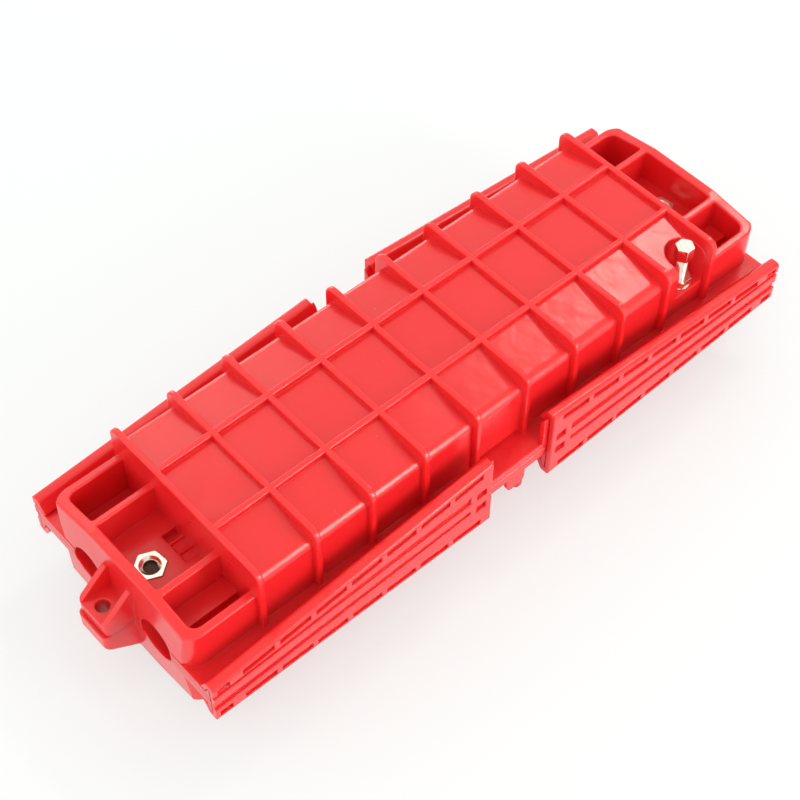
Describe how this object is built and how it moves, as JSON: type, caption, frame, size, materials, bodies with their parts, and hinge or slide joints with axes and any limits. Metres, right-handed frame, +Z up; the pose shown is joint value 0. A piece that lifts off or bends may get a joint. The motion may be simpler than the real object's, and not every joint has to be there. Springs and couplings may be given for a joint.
{
  "type": "fibre splice box",
  "caption": "Inline fibre splice box: ribbed red half shells shut by tapered slide-on clamp bars and end bolts, with cable ports at both ends and splice trays inside.",
  "frame": {"origin": "middle of the rectangle under the lower ribs, on the surface the box lies on", "axes": "+X along the box towards the end with the valve, +Y across it away from the valve, +Z up"},
  "size_m": [0.377, 0.127, 0.084],
  "materials": {
    "red_plastic": "glossy moulded",
    "gasket_rubber": "soft matt",
    "plated_steel": "bright plated",
    "dark_steel": "dark oxide",
    "nickel_brass": "bright nickel plated",
    "plate_steel": "brushed",
    "screw_steel": "zinc plated",
    "clamp_plastic": "fine grain",
    "post_brass": "turned",
    "tray_plastic": "satin moulded",
    "holder_rubber": "soft matt",
    "clear_plastic": "clear moulded"
  },
  "bodies": {
    "box": {"upper_shell": "red_plastic", "lower_shell": "red_plastic", "near_gasket": "gasket_rubber", "far_gasket": "gasket_rubber", "left_end_nut": "plated_steel", "right_end_nut": "plated_steel", "left_end_bolt": "dark_steel", "right_end_bolt": "dark_steel", "valve_body": "nickel_brass", "valve_washer": "nickel_brass", "valve_nut": "nickel_brass", "mounting_plate": "plate_steel", "cable_strap_left_near": "plate_steel", "cable_strap_left_far": "plate_steel", "cable_strap_right_near": "plate_steel", "cable_strap_right_far": "plate_steel", "plate_screws": "screw_steel", "strap_screws": "screw_steel", "saddle_screws": "screw_steel", "member_screws": "screw_steel", "left_tray_rod": "screw_steel", "right_tray_rod": "screw_steel", "cable_saddle_left_near": "clamp_plastic", "cable_saddle_left_far": "clamp_plastic", "cable_saddle_right_near": "clamp_plastic", "cable_saddle_right_far": "clamp_plastic", "left_tray_spacer": "clamp_plastic", "right_tray_spacer": "clamp_plastic", "left_thumb_nut": "clamp_plastic", "right_thumb_nut": "clamp_plastic", "member_post_left_near": "post_brass", "member_post_left_far": "post_brass", "member_post_right_near": "post_brass", "member_post_right_far": "post_brass", "lower_splice_tray": "tray_plastic", "upper_splice_tray": "tray_plastic", "lower_splice_holder": "holder_rubber", "upper_splice_holder": "holder_rubber", "tray_lid": "clear_plastic"},
    "clamp_bar_left_near": {"clamp_bar_left_near": "red_plastic"},
    "clamp_bar_left_far": {"clamp_bar_left_far": "red_plastic"},
    "clamp_bar_right_near": {"clamp_bar_right_near": "red_plastic"},
    "clamp_bar_right_far": {"clamp_bar_right_far": "red_plastic"},
    "valve_cap": {"valve_cap": "nickel_brass", "valve_seal": "gasket_rubber"}
  },
  "joints": [
    {"name": "clamp_bar_left_near_slide", "type": "slide", "parent": "box", "child": "clamp_bar_left_near", "axis": [-1, 0, 0], "range_m": [0, 0.15]},
    {"name": "clamp_bar_left_far_slide", "type": "slide", "parent": "box", "child": "clamp_bar_left_far", "axis": [-1, 0, 0], "range_m": [0, 0.15]},
    {"name": "clamp_bar_right_near_slide", "type": "slide", "parent": "box", "child": "clamp_bar_right_near", "axis": [1, 0, 0], "range_m": [0, 0.15]},
    {"name": "clamp_bar_right_far_slide", "type": "slide", "parent": "box", "child": "clamp_bar_right_far", "axis": [1, 0, 0], "range_m": [0, 0.15]},
    {"name": "valve_cap_turn", "type": "hinge", "parent": "box", "child": "valve_cap", "pos_m": [0.124, -0.041, 0.079], "axis": [0, 0, 1], "continuous": true}
  ]
}
